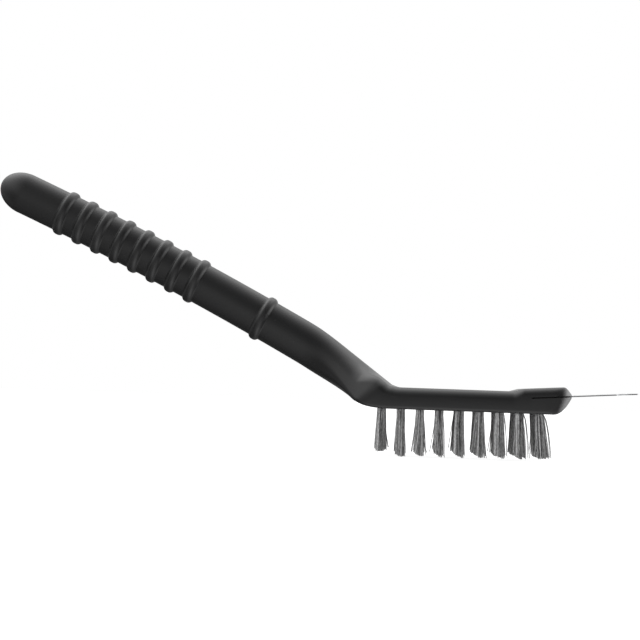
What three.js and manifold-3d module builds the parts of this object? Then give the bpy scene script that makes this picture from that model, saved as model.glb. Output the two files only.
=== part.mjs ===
// Grill brush: a bowed plastic handle moulded in one with a flat head, steel wire tufts held in the
// head by flat anchors, and a sheet-steel scraper in the head's nose.
// Millimetres, +Z up, +X along the head towards the scraper, +Y across it. The wire tips stand on z = 0.
import * as THREE from 'three';
import { mergeGeometries, mergeVertices } from 'three/addons/utils/BufferGeometryUtils.js';
import Module from 'manifold-3d';

// Handle, measured along its spine from where the neck's bend ends in the head
const HANDLE_LENGTH = 228.1;
const HANDLE_HEIGHT = 20.5;
const BUTT_HEIGHT = 20.2;
const HANDLE_WIDTH = 17.6;
const DOME_LENGTH = 13.9;
const BOW_RADIUS = 1908;

// Grip ridges and the single collar ring
const RIDGE_COUNT = 8;
const RIDGE_PITCH = 10.86;
const RIDGE_WIDTH = 4;
const RIDGE_HEIGHT = 1.3;
const FIRST_RIDGE_FROM_BUTT = 37.5;
const COLLAR_FROM_LAST_RIDGE = 39.1;

// Neck: its under side follows the spine, and its crest is a straight line down to a crease on the head
const BEND_RADIUS = 15;
const BEND_ANGLE = 38; // degrees
const NECK_STRAIGHT = 7.6;
const NECK_SWEEP_RADIUS = 200;
const NECK_SWEEP_ANGLE = 9.43; // degrees
const NECK_THICKNESS = 17.3;
const NECK_THINNING = 12.5; // over which the under side eases into the head's
const CREST_SLOPE = 36.7; // degrees
const CREST_INTO_HEAD = 2.9; // where the crest line meets the head's top
const CREST_ROUNDING = 1.1; // where the crest line meets the handle
const CREST_WIDTH = 5; // over which the crest is round
const CREASE_FILLET = 2.5; // where the neck meets the head's top
const SHOULDER_SLOPE = 27; // degrees that the neck falls away either side of its crest
const SHOULDER_LENGTH = 34; // over which the gabled neck turns into the round handle
const FLARE_FROM = 5;
const FLARE_LENGTH = 44; // over which the handle widens to the head
const NECK_ROOT_TILT = 22; // degrees that the section leans forward where the neck meets the head
const ROOT_TILT_INTO_NECK = 22;
const ROOT_TILT_INTO_HEAD = 12;

// Head
const HEAD_THICKNESS = 10.7;
const HEAD_SIDE_WALL = 2.5; // beside the outer holes
const HEAD_TOP_EDGE_RADIUS = 5;
const HEAD_LOWER_EDGE_RADIUS = 2;
const NOSE_REACH = 15.6; // from the last tufts to the nose
const NOSE_CORNER_RADIUS = 5.7; // seen from above
const NOSE_TOP_CHAMFER = 2.9;
const NOSE_LOWER_CHAMFER = 5.6;
const NOSE_LIP = 0.45; // plastic left above and below the slot at the very front

// Raised block over the scraper
const BLOCK_LENGTH = 28.6; // from the nose back to the foot of its ramp
const BLOCK_RAMP = 5;
const BLOCK_RISE = 1.4;

// Tufts, in columns along the head and rows across it
const COLUMNS = 9;
const ROWS = 4;
const COLUMN_PITCH = 9.65;
const ROW_PITCH = 11.4;
const FIRST_COLUMN_SETBACK = 3.25; // behind the end of the bend
const HOLE_DIAMETER = 4.8;
const HOLE_ROOF = 4.6; // plastic above the holes
const TRIM_LENGTH = 23.5; // wire below the head's face
const FIRST_COLUMN_SHORTER = 2.5;
const STRAND_SIZE = 0.62; // across the corners
const STRAND_SPREAD = 1.75; // tip circle over root circle
const OUTER_STRANDS = 4; // near the wall, in each of a tuft's two legs
const INNER_STRANDS = 2; // beside the anchor
const OUTER_FAN = 72; // degrees that the outer strands fill either side of the leg's middle
const INNER_SPAN = 2.2; // along the anchor
const FOLD_BAR_THICKNESS = 1; // where the folded wires of a row are joined

// Anchors: flat wire driven across each hole, between the two legs of its tuft
const ANCHOR_THICKNESS = 0.5;
const ANCHOR_WIDTH = 1.6;
const ANCHOR_BITE = 0.9; // into the wall at each end

// Scraper blade
const BLADE_THICKNESS = 0.5;
const BLADE_WIDTH = 34;
const BLADE_PROJECTION = 32.1;
const BLADE_TANG = 19.6;
const BLADE_TILT = 4.1; // degrees, rising to the front
const BLADE_BELOW_HEAD_TOP = 1.6; // at the nose
const BLADE_CORNER_RADIUS = 1.2;
const NOTCH_WIDTH = 7.5;
const NOTCH_DEPTH = 8;
const NOTCH_FROM_END = 3;
const PEG_DIAMETER = 4;
const PEG_SPACING = 18;
const PEG_SETBACK = 10; // behind the nose

// Fits
const SEAT_CLEARANCE = 0.3;
const SLOT_CLEARANCE = 0.2;

// Facets
const HALF_RING = 13; // points over the top of a section, and as many under it
const HOLE_SIDES = 14;
const RIDGE_STEPS = 4;
const DOME_STEPS = 6;
const NECK_STEPS = 18;
const ROOT_STEPS = 6;
const NOSE_STEPS = 8;
const BLADE_ARC_STEPS = 8;
const LEAST_SECTION_STEP = 0.2; // sections closer than this along the spine count as one
const CUT_OVERRUN = 5; // how far a cutter runs past the face that it opens
const WELD = 1e-4;

const degrees = THREE.MathUtils.degToRad;
const lerp = THREE.MathUtils.lerp;
const clamp = THREE.MathUtils.clamp;
const ease = (value) => THREE.MathUtils.smoothstep(value, 0, 1);

// Sizes that follow from the ones above
const headWidth = (ROWS - 1) * ROW_PITCH + HOLE_DIAMETER + 2 * HEAD_SIDE_WALL;
const headHalf = headWidth / 2;
const headLength = (COLUMNS - 1) * COLUMN_PITCH - FIRST_COLUMN_SETBACK + NOSE_REACH;
const headMiddle = HEAD_THICKNESS / 2;
const handleHalf = HANDLE_HEIGHT / 2;
const bendLength = BEND_RADIUS * degrees(BEND_ANGLE);
const sweepLength = NECK_SWEEP_RADIUS * degrees(NECK_SWEEP_ANGLE);
const neckLength = bendLength + NECK_STRAIGHT + sweepLength;
const buttHalf = BUTT_HEIGHT / 2;
const domeFrom = HANDLE_LENGTH - DOME_LENGTH;
const firstRidge = HANDLE_LENGTH - FIRST_RIDGE_FROM_BUTT;
const lastRidge = firstRidge - (RIDGE_COUNT - 1) * RIDGE_PITCH;
const holeDepth = HEAD_THICKNESS - HOLE_ROOF;
const foldBarTop = holeDepth - SEAT_CLEARANCE;
const foldBarBottom = foldBarTop - FOLD_BAR_THICKNESS;
const anchorTop = foldBarBottom - SEAT_CLEARANCE;
const anchorLength = HOLE_DIAMETER + 2 * ANCHOR_BITE;
const strandTop = (foldBarTop + foldBarBottom) / 2;
const mouthSpread = lerp(1, STRAND_SPREAD, strandTop / (strandTop + TRIM_LENGTH));
const strandRing = (HOLE_DIAMETER / 2 - SEAT_CLEARANCE - STRAND_SIZE / 2) / mouthSpread;
const innerStrandX = ANCHOR_THICKNESS / 2 + SEAT_CLEARANCE + STRAND_SIZE / 2;
const slotThickness = BLADE_THICKNESS + 2 * SLOT_CLEARANCE;
const bladeHeight = HEAD_THICKNESS - BLADE_BELOW_HEAD_TOP;
const slotAboveSpine = bladeHeight - headMiddle;
const lipHalf = slotThickness / 2 + NOSE_LIP;

const columnX = (column) => column * COLUMN_PITCH - FIRST_COLUMN_SETBACK;
const rowY = (row) => (row - (ROWS - 1) / 2) * ROW_PITCH;

const wasm = await Module();
wasm.setup();

const materials = {
  plastic: new THREE.MeshStandardMaterial({ color: 0x1d1d1f, roughness: 0.45, metalness: 0 }),
  wire: new THREE.MeshStandardMaterial({ color: 0x8d8d8f, roughness: 0.35, metalness: 1 }),
  anchor: new THREE.MeshStandardMaterial({ color: 0xb5a26a, roughness: 0.4, metalness: 1 }),
  blade: new THREE.MeshStandardMaterial({ color: 0xc4c6c8, roughness: 0.3, metalness: 1 }),
};

// Solids for cutting and joining
function solidOf(geometry) {
  const bare = geometry.clone();
  bare.deleteAttribute('normal');
  bare.deleteAttribute('uv');
  const welded = mergeVertices(bare, WELD);
  return new wasm.Manifold(new wasm.Mesh({
    numProp: 3,
    vertProperties: new Float32Array(welded.attributes.position.array),
    triVerts: new Uint32Array(welded.index.array),
  }));
}

function geometryOf(solid) {
  const mesh = solid.getMesh();
  const geometry = new THREE.BufferGeometry();
  geometry.setAttribute('position', new THREE.BufferAttribute(mesh.vertProperties, 3));
  geometry.setIndex(new THREE.BufferAttribute(mesh.triVerts, 1));
  geometry.computeVertexNormals();
  return geometry;
}

function boxBetween(low, high) {
  const size = high.map((value, axis) => value - low[axis]);
  const middle = high.map((value, axis) => (value + low[axis]) / 2);
  return new THREE.BoxGeometry(...size).translate(...middle);
}

function meshOf(name, geometry, material) {
  const mesh = new THREE.Mesh(geometry, material);
  mesh.name = name;
  return mesh;
}

// The spine: straight along the head, then the bend, a straight neck, a sweep and the handle's bow.
// back is the distance along it from the end of the bend, negative in the head.
const spineRuns = [
  { length: bendLength, curvature: 1 / BEND_RADIUS },
  { length: NECK_STRAIGHT, curvature: 0 },
  { length: sweepLength, curvature: -1 / NECK_SWEEP_RADIUS },
  { length: Infinity, curvature: -1 / BOW_RADIUS },
];

function spineAt(back) {
  const point = { x: Math.max(-back, 0), z: headMiddle, slope: 0 };
  let left = Math.max(back, 0);
  for (const run of spineRuns) {
    const step = Math.min(left, run.length);
    const turn = step * run.curvature;
    const chord = turn === 0 ? step : (2 * Math.sin(turn / 2)) / run.curvature;
    point.x -= chord * Math.cos(point.slope + turn / 2);
    point.z += chord * Math.sin(point.slope + turn / 2);
    point.slope += turn;
    left -= step;
  }
  return point;
}

const ridges = [lastRidge - COLLAR_FROM_LAST_RIDGE];
for (let ridge = 0; ridge < RIDGE_COUNT; ridge += 1) {
  ridges.push(lastRidge + ridge * RIDGE_PITCH);
}

// Greater of two heights, with the corner where they cross rounded
function softGreater(first, second, rounding) {
  const overlap = Math.max(0, rounding - Math.abs(first - second));
  return Math.max(first, second) + (overlap * overlap) / (4 * rounding);
}

// Ridge height at a distance along the spine: a circle's arc over each ridge
function ridgeAt(back) {
  const half = RIDGE_WIDTH / 2;
  const radius = (half * half + RIDGE_HEIGHT * RIDGE_HEIGHT) / (2 * RIDGE_HEIGHT);
  const across = Math.min(...ridges.map((middle) => Math.abs(back - middle)));
  return Math.max(0, Math.sqrt(Math.max(0, radius * radius - across * across)) - radius + RIDGE_HEIGHT);
}

function handleHalfAt(back) {
  return lerp(handleHalf, buttHalf, ease(back / HANDLE_LENGTH));
}

// From the spine down to the under side: head, then neck, then handle, each eased into the next
function depthBelow(back) {
  const neck = lerp(NECK_THICKNESS / 2, handleHalfAt(back), ease((back - bendLength) / sweepLength));
  return lerp(headMiddle, neck, ease(back / NECK_THINNING));
}

// Share of the way from the head's width to the handle's, steepest at the head
function flareAt(back) {
  return Math.sin((clamp((back - FLARE_FROM) / FLARE_LENGTH, 0, 1) * Math.PI) / 2);
}

function domeAt(back) {
  const into = clamp((back - domeFrom) / DOME_LENGTH, 0, 1);
  return Math.sqrt(1 - into * into);
}

// Top of the head above its face: flat, then the ramp and the block that follows the blade's tilt
function blockTop(along) {
  const foot = headLength - BLOCK_LENGTH;
  const onRamp = clamp((along - foot) / BLOCK_RAMP, 0, 1);
  const beyond = Math.max(0, along - foot - BLOCK_RAMP);
  return HEAD_THICKNESS + BLOCK_RISE * onRamp + beyond * Math.tan(degrees(BLADE_TILT));
}

// Plan of the head: parallel sides with round corners at the nose
function headHalfWidth(along) {
  const into = clamp((along - headLength) / NOSE_CORNER_RADIUS + 1, 0, 1);
  return headHalf - NOSE_CORNER_RADIUS * (1 - Math.sqrt(1 - into * into));
}

// How far the round corners lie behind the front of the nose, at a place across the head
function frontSetback(y) {
  const into = clamp(Math.abs(y) - headHalf + NOSE_CORNER_RADIUS, 0, NOSE_CORNER_RADIUS);
  return NOSE_CORNER_RADIUS - Math.sqrt(NOSE_CORNER_RADIUS ** 2 - into * into);
}

// Fall of a rounded edge at a distance in from the side wall
function edgeDrop(inset, radius) {
  const into = clamp(radius - inset, 0, radius);
  return radius - Math.sqrt(radius * radius - into * into);
}

// Heights and width of the moulding's section. It is square to the spine, but at the neck's root it leans
// forward, where heights are stretched to keep the thickness.
function sectionAt(back) {
  const along = Math.max(0, -back);
  const spine = spineAt(back);
  const rootReach = back > 0 ? ROOT_TILT_INTO_NECK : ROOT_TILT_INTO_HEAD;
  const root = degrees(NECK_ROOT_TILT) * (1 - ease(Math.abs(back) / rootReach));
  const tilt = spine.slope + root;
  const stretch = 1 / Math.cos(root);
  const dome = domeAt(back);
  const ridge = ridgeAt(back);
  const below = depthBelow(back);
  const slope = degrees(CREST_SLOPE);
  const crestRun = (CREST_INTO_HEAD - spine.x) * Math.sin(slope);
  const crestRise = (HEAD_THICKNESS - spine.z) * Math.cos(slope);
  const crestLine = (crestRun + crestRise) / Math.cos(tilt - slope);
  const handleTop = handleHalfAt(back) * dome * stretch + ridge;
  return {
    along,
    spine,
    tilt,
    slab: blockTop(along) - HEAD_THICKNESS + (HEAD_THICKNESS - below) * stretch,
    crest: -softGreater(-crestLine, -handleTop, CREST_ROUNDING),
    bottom: -below * dome * stretch - ridge,
    width: lerp(headHalfWidth(along), HANDLE_WIDTH / 2, flareAt(back)) * dome + ridge,
    roundness: ease((back - FLARE_FROM) / SHOULDER_LENGTH),
  };
}

// Upper and lower height of a section at an angle round it. The head is a slab with rounded edges and a
// chamfered nose, the neck is a gable that rises from it, and the handle is round.
function heightsAt(section, angle) {
  const { slab, crest, bottom, width, roundness } = section;
  const y = width * Math.cos(angle);
  const inset = width - Math.abs(y);
  const toFront = section.along + frontSetback(y) - headLength;
  const gable = crest - (Math.hypot(y, CREST_WIDTH) - CREST_WIDTH) * Math.tan(degrees(SHOULDER_SLOPE));
  const roof = softGreater(slab, gable, CREASE_FILLET);
  const upper = lerp(roof, slotAboveSpine + lipHalf, clamp(toFront / NOSE_TOP_CHAMFER + 1, 0, 1));
  const lower = lerp(bottom, slotAboveSpine - lipHalf, clamp(toFront / NOSE_LOWER_CHAMFER + 1, 0, 1));
  const limit = (upper - lower) / 2;
  const boxTop = upper - edgeDrop(inset, Math.min(HEAD_TOP_EDGE_RADIUS, limit));
  const boxBottom = lower + edgeDrop(inset, Math.min(HEAD_LOWER_EDGE_RADIUS, limit));
  const middle = (crest + bottom) / 2;
  const rise = ((crest - bottom) / 2) * Math.sin(angle);
  return [lerp(boxTop, middle + rise, roundness), lerp(boxBottom, middle - rise, roundness)];
}

// Points of one section: over the top from right to left, then back underneath
function ringAt(back) {
  const section = sectionAt(back);
  const { spine, tilt, width } = section;
  const over = [];
  const under = [];
  for (let step = 0; step < HALF_RING; step += 1) {
    const angle = ((step + 0.5) / HALF_RING) * Math.PI;
    const [top, low] = heightsAt(section, angle).map((height) => new THREE.Vector3(
      spine.x + height * Math.sin(tilt),
      width * Math.cos(angle),
      spine.z + height * Math.cos(tilt),
    ));
    over.push(top);
    under.unshift(low);
  }
  return [...over, ...under];
}

// Skin over a run of rings, closed by a fan at each end
function loft(rings, firstPoint, lastPoint) {
  const count = rings[0].length;
  const points = [...rings.flat(), firstPoint, lastPoint];
  const firstIndex = rings.length * count;
  const faces = [];
  for (let side = 0; side < count; side += 1) {
    const next = (side + 1) % count;
    for (let ring = 0; ring < rings.length - 1; ring += 1) {
      const here = ring * count;
      const beyond = here + count;
      faces.push(here + side, here + next, beyond + next);
      faces.push(here + side, beyond + next, beyond + side);
    }
    const last = (rings.length - 1) * count;
    faces.push(firstIndex, next, side);
    faces.push(firstIndex + 1, last + side, last + next);
  }
  const geometry = new THREE.BufferGeometry().setFromPoints(points);
  geometry.setIndex(faces);
  return geometry;
}

// Where the sections stand: at the dome, round each ridge, through the neck and its root, and at the nose
function sectionPlaces() {
  const places = [0, domeFrom, -headLength, BLOCK_LENGTH - headLength];
  places.push(BLOCK_LENGTH - headLength - BLOCK_RAMP);
  places.push(NOSE_TOP_CHAMFER - headLength, NOSE_LOWER_CHAMFER - headLength);
  for (let step = 1; step < DOME_STEPS; step += 1) {
    places.push(domeFrom + DOME_LENGTH * Math.sin((step / DOME_STEPS) * (Math.PI / 2)));
  }
  for (const middle of ridges) {
    for (let step = 0; step <= RIDGE_STEPS; step += 1) {
      places.push(middle - (RIDGE_WIDTH / 2) * Math.cos((step / RIDGE_STEPS) * Math.PI));
    }
  }
  for (let step = 1; step <= NECK_STEPS; step += 1) {
    places.push((step / NECK_STEPS) * neckLength);
  }
  for (let step = 1; step <= ROOT_STEPS; step += 1) {
    places.push((-step / ROOT_STEPS) * ROOT_TILT_INTO_HEAD);
  }
  for (let step = 0; step < NOSE_STEPS; step += 1) {
    const share = 1 - Math.sin((step / NOSE_STEPS) * (Math.PI / 2));
    places.push((NOSE_CORNER_RADIUS + NOSE_LOWER_CHAMFER) * share - headLength);
  }
  places.sort((a, b) => b - a);
  return places.filter((place, index) => index === 0 || places[index - 1] - place > LEAST_SECTION_STEP);
}

function mouldingBlank() {
  const rings = sectionPlaces().map(ringAt);
  const butt = spineAt(HANDLE_LENGTH);
  const nose = new THREE.Vector3(headLength, 0, bladeHeight);
  return solidOf(loft(rings, new THREE.Vector3(butt.x, 0, butt.z), nose));
}

function eachTuft(make) {
  const made = [];
  for (let row = 0; row < ROWS; row += 1) {
    for (let column = 0; column < COLUMNS; column += 1) {
      made.push(make(columnX(column), rowY(row), row, column));
    }
  }
  return made;
}

// Bar that joins the folded wires of a row, grown by a clearance for the channel that it lies in
function foldBar(row, clearance) {
  const reach = HOLE_DIAMETER / 2 - SEAT_CLEARANCE + clearance;
  return boxBetween(
    [columnX(0) - reach, rowY(row) - reach, foldBarBottom - clearance],
    [columnX(COLUMNS - 1) + reach, rowY(row) + reach, foldBarTop + clearance],
  );
}

function anchorBox(clearance) {
  return boxBetween(
    [-ANCHOR_THICKNESS / 2 - clearance, -anchorLength / 2 - clearance, anchorTop - ANCHOR_WIDTH - clearance],
    [ANCHOR_THICKNESS / 2 + clearance, anchorLength / 2 + clearance, anchorTop + clearance],
  );
}

function tuftHole(x, y) {
  const height = holeDepth + CUT_OVERRUN;
  const hole = new THREE.CylinderGeometry(HOLE_DIAMETER / 2, HOLE_DIAMETER / 2, height, HOLE_SIDES);
  return hole.rotateX(Math.PI / 2).translate(x, y, holeDepth - height / 2);
}

// Lays out a piece that is drawn about the blade's middle plane at the nose
function inBladePlane(geometry) {
  return geometry.rotateY(-degrees(BLADE_TILT)).translate(headLength, 0, bladeHeight);
}

function pegPlaces() {
  return [-PEG_SPACING / 2, PEG_SPACING / 2];
}

// Slot through the nose, open at the front and sides, crossed by two pegs
function bladeSlot() {
  const wide = headHalf + CUT_OVERRUN;
  const slot = boxBetween(
    [-BLADE_TANG - SEAT_CLEARANCE, -wide, -slotThickness / 2],
    [CUT_OVERRUN, wide, slotThickness / 2],
  );
  const pegs = pegPlaces().map((y) => {
    const height = slotThickness + CUT_OVERRUN;
    const peg = new THREE.CylinderGeometry(PEG_DIAMETER / 2, PEG_DIAMETER / 2, height, HOLE_SIDES);
    return peg.rotateX(Math.PI / 2).translate(-PEG_SETBACK, y, 0);
  });
  return solidOf(inBladePlane(slot)).subtract(solidOf(inBladePlane(mergeGeometries(pegs))));
}

function handleBody() {
  const holes = eachTuft(tuftHole);
  const seats = eachTuft((x, y) => anchorBox(SEAT_CLEARANCE).translate(x, y, 0));
  const channels = Array.from({ length: ROWS }, (_, row) => foldBar(row, SEAT_CLEARANCE));
  const cuts = [holes, seats, channels].map((group) => solidOf(mergeGeometries(group)));
  const body = [...cuts, bladeSlot()].reduce((solid, cut) => solid.subtract(cut), mouldingBlank());
  return meshOf('handle_body', geometryOf(body), materials.plastic);
}

// Root positions of a tuft's strands: each leg has an arc near the wall and a line beside the anchor
function strandRoots() {
  const roots = [];
  const spread = (strand, count) => (2 * strand + 1) / count - 1;
  for (const leg of [1, -1]) {
    for (let strand = 0; strand < OUTER_STRANDS; strand += 1) {
      const angle = degrees(OUTER_FAN) * spread(strand, OUTER_STRANDS);
      roots.push([leg * strandRing * Math.cos(angle), strandRing * Math.sin(angle)]);
    }
    for (let strand = 0; strand < INNER_STRANDS; strand += 1) {
      roots.push([leg * innerStrandX, (INNER_SPAN / 2) * spread(strand, INNER_STRANDS)]);
    }
  }
  return roots;
}

// One three-sided strand from the bar to its trimmed tip, spreading away from the tuft's middle
function strand([rootX, rootY], x, y, tipZ) {
  const points = [];
  const ends = [[1, strandTop], [STRAND_SPREAD, tipZ]];
  for (const [spread, z] of ends) {
    for (let corner = 0; corner < 3; corner += 1) {
      const angle = (corner / 3) * 2 * Math.PI;
      const cornerX = x + rootX * spread + (STRAND_SIZE / 2) * Math.cos(angle);
      const cornerY = y + rootY * spread + (STRAND_SIZE / 2) * Math.sin(angle);
      points.push(new THREE.Vector3(cornerX, cornerY, z));
    }
  }
  const geometry = new THREE.BufferGeometry().setFromPoints(points);
  const faces = [0, 1, 2, 3, 5, 4];
  for (let corner = 0; corner < 3; corner += 1) {
    const next = (corner + 1) % 3;
    faces.push(corner, corner + 3, next + 3, corner, next + 3, next);
  }
  geometry.setIndex(faces);
  return geometry;
}

function bristleRow(row) {
  const strands = [];
  for (let column = 0; column < COLUMNS; column += 1) {
    const tipZ = column === 0 ? FIRST_COLUMN_SHORTER - TRIM_LENGTH : -TRIM_LENGTH;
    for (const root of strandRoots()) {
      strands.push(strand(root, columnX(column), rowY(row), tipZ));
    }
  }
  const solid = solidOf(foldBar(row, 0)).add(solidOf(mergeGeometries(strands)));
  return meshOf(`bristle_row_${row + 1}`, geometryOf(solid), materials.wire);
}

function tuftAnchor(x, y, row, column) {
  const mesh = meshOf(`tuft_anchor_r${row + 1}_c${column + 1}`, anchorBox(0), materials.anchor);
  mesh.position.set(x, y, 0);
  return mesh;
}

// Blade outline: a plain tang, a U-shaped grate notch in each side, rounded front corners
function bladeOutline() {
  const half = BLADE_WIDTH / 2;
  const radius = BLADE_CORNER_RADIUS;
  const notchRadius = NOTCH_WIDTH / 2;
  const notchX = BLADE_PROJECTION - NOTCH_FROM_END - notchRadius;
  const notchY = half - NOTCH_DEPTH + notchRadius;
  const outline = new THREE.Shape();
  outline.moveTo(-BLADE_TANG, -half);
  outline.lineTo(notchX - notchRadius, -half);
  outline.absarc(notchX, -notchY, notchRadius, Math.PI, 0, true);
  outline.lineTo(notchX + notchRadius, -half);
  outline.absarc(BLADE_PROJECTION - radius, radius - half, radius, -Math.PI / 2, 0, false);
  outline.absarc(BLADE_PROJECTION - radius, half - radius, radius, 0, Math.PI / 2, false);
  outline.lineTo(notchX + notchRadius, half);
  outline.absarc(notchX, notchY, notchRadius, 0, -Math.PI, true);
  outline.lineTo(notchX - notchRadius, half);
  outline.lineTo(-BLADE_TANG, half);
  outline.closePath();
  const lockRadius = PEG_DIAMETER / 2 + SEAT_CLEARANCE;
  for (const y of pegPlaces()) {
    outline.holes.push(new THREE.Path().absarc(-PEG_SETBACK, y, lockRadius, 0, 2 * Math.PI));
  }
  return outline;
}

function scraperBlade() {
  const settings = { depth: BLADE_THICKNESS, bevelEnabled: false, curveSegments: BLADE_ARC_STEPS };
  const sheet = new THREE.ExtrudeGeometry(bladeOutline(), settings).translate(0, 0, -BLADE_THICKNESS / 2);
  return meshOf('scraper_blade', inBladePlane(sheet), materials.blade);
}

const brush = new THREE.Group();
brush.add(handleBody(), scraperBlade());
for (let row = 0; row < ROWS; row += 1) {
  brush.add(bristleRow(row));
}
brush.add(...eachTuft(tuftAnchor));

// The origin lies under the middle of the brush, at the wire tips
const extent = new THREE.Box3().setFromObject(brush);
brush.position.set(-(extent.min.x + extent.max.x) / 2, 0, -extent.min.z);

export default brush;
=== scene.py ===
"""Looks of the grill brush: a black moulding, wire tufts and a sheet-steel scraper on a pale floor."""

import bpy
import numpy as np
from mathutils import Matrix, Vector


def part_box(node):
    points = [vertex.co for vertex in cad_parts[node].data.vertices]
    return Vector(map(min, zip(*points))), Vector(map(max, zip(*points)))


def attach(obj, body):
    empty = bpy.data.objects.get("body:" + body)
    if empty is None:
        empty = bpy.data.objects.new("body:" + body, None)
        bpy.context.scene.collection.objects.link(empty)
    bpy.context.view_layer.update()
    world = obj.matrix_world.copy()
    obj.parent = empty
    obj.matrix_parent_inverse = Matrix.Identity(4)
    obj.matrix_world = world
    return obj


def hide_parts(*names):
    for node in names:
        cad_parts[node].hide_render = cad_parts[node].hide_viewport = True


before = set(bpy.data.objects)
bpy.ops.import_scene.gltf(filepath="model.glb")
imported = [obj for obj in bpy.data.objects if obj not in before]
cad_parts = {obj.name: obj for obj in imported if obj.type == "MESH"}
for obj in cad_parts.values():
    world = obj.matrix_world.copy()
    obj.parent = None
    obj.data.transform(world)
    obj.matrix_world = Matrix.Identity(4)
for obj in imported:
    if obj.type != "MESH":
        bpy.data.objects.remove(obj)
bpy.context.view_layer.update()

MM = 0.001

# Handle, along its spine from the neck's root on the head
HANDLE_LENGTH = 228.1 * MM
HANDLE_HEIGHT = 20.9 * MM
BUTT_HEIGHT = 20.8 * MM
HANDLE_WIDTH = 17.6 * MM
DOME_LENGTH = 13.9 * MM
BOW_RADIUS = 1908 * MM

# Grip ridges and the collar ring
RIDGE_COUNT = 8
RIDGE_PITCH = 10.86 * MM
RIDGE_WIDTH = 5.2 * MM
RIDGE_HEIGHT = 1.4 * MM
RIDGE_BASE_FILLET = 0.35 * MM
FIRST_RIDGE_FROM_BUTT = 37.5 * MM
COLLAR_FROM_LAST_RIDGE = 39.1 * MM

# Neck: its under side follows the spine, and its crest is a straight line down to a crease on the head
BEND_RADIUS = 15 * MM
BEND_ANGLE = np.radians(38)
NECK_STRAIGHT = 7.6 * MM
NECK_SWEEP_RADIUS = 200 * MM
NECK_SWEEP_ANGLE = np.radians(9.43)
NECK_THICKNESS = 17.3 * MM
NECK_THINNING = 12.5 * MM  # over which the neck thins to the head
CREST_SLOPE = np.radians(36.7)
CREST_INTO_HEAD = 3.3 * MM  # where the crest line meets the head's top
CREST_WIDTH = 5 * MM  # over which the gable is rounded at its crest
CREST_ROUNDING = 1.1 * MM
CREASE_FILLET = 2.5 * MM
SHOULDER_SLOPE = np.radians(31)  # fall of the neck either side of its crest
SHOULDER_SLOPE_AT_HEAD = np.radians(5)
SHOULDER_FROM = 11 * MM
SHOULDER_GROWTH = 12 * MM  # over which the shoulders steepen
SHOULDER_LENGTH = 34 * MM  # over which the gabled neck turns into the round handle
FLARE_FROM = 9 * MM
FLARE_LENGTH = 40 * MM  # over which the handle widens to the head
FLARE_ROUNDING = 2.5 * MM
NECK_ROOT_TILT = np.radians(22)  # lean of the sections at the neck's root
ROOT_TILT_INTO_NECK = 22 * MM
ROOT_TILT_INTO_HEAD = 12 * MM

# Head, its wedge nose and the raised block over the scraper
HEAD_THICKNESS = 10.7 * MM
HEAD_SIDE_WALL = 2.5 * MM
HEAD_TOP_EDGE_RADIUS = 5 * MM
BLOCK_TOP_EDGE_RADIUS = 3.7 * MM
NECK_TOP_EDGE_RADIUS = 7.5 * MM
NECK_EDGE_FROM = 13 * MM
NECK_EDGE_RUN = 8 * MM
HEAD_LOWER_EDGE_RADIUS = 2 * MM
NOSE_REACH = 15.6 * MM  # from the last column of tufts to the front
NOSE_CORNER_RADIUS = 5.7 * MM
NOSE_TOP_CHAMFER = 2.9 * MM
NOSE_LOWER_CHAMFER = 4.6 * MM
NOSE_LIP = 0.45 * MM
NOSE_TOP_ROUNDING = 1.1 * MM
NOSE_LOWER_ROUNDING = 3.4 * MM
BLOCK_LENGTH = 28.6 * MM
BLOCK_RAMP = 5 * MM
BLOCK_RISE = 1.4 * MM
RAMP_ROUNDING = 0.4 * MM

# Tufts and how they are trimmed below the head's face
COLUMNS = 9
ROWS = 4
FIRST_COLUMN_SETBACK = 3.25 * MM  # from the neck's root back to the first column
HOLE_DIAMETER = 4.8 * MM
HOLE_ROOF = 4.6 * MM
HOLE_MOUTH_CHAMFER = 0.25 * MM
TRIM_LENGTH = 23.9 * MM
TRIM_TAPER = 1 * MM  # by which the last column is cut shorter
FIRST_COLUMN_SHORTER = 2.5 * MM
TRIM_SLANT = 1.6 * MM
FULL_SLANT_COLUMN = 2
TRIM_CROWN = 0.6 * MM
TRIM_UNEVENNESS = 0.8 * MM

# Wires, each with two legs that leave the hole on either side of the anchor
WIRES_PER_TUFT = 32
WIRE_DIAMETER = 0.38 * MM
WIRE_SIDES = 5
WIRE_BOW = 0.2 * MM
LEG_RINGS = (1, 0.84, 0.66, 0.48, 0.3, 0.13, 0)  # shares of a leg's length, from its tip to the hole's mouth
LEG_GAP = 0.45 * MM
LEG_CURVE = 1.2
ANCHOR_GAP = 0.9 * MM
BESIDE_ANCHOR_HEIGHT = 2.6 * MM
BESIDE_ANCHOR_SQUEEZE = 0.94
TIP_FLARE = 1.12
TIP_SCATTER = 0.4 * MM
STRAY_SHARE = 0.22
STRAY_SCATTER = 1.2 * MM
LOOSE_SHARE = 0.36
LOOSE_FROM_COLUMN = 3
LOOSE_REACH = 2.7 * MM
LOOSE_LEAST = 0.2
LOOSE_CURVE = 0.55
TUFT_LEAN = 0.25 * MM
LAST_COLUMN_SPLAY = 1.4 * MM
CLUMP_WIDTH = 1.1 * MM
CLUMP_UNEVENNESS = 0.3 * MM
CLUMPS_IN_TUFT = 7
CLUMPS_IN_ROW = 997
# Share of a leg's shade that is its clump's painted shade, which stands for the shade between clumps
CLUMP_SHADE_SHARE = 0.45
SEED = 11

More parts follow.
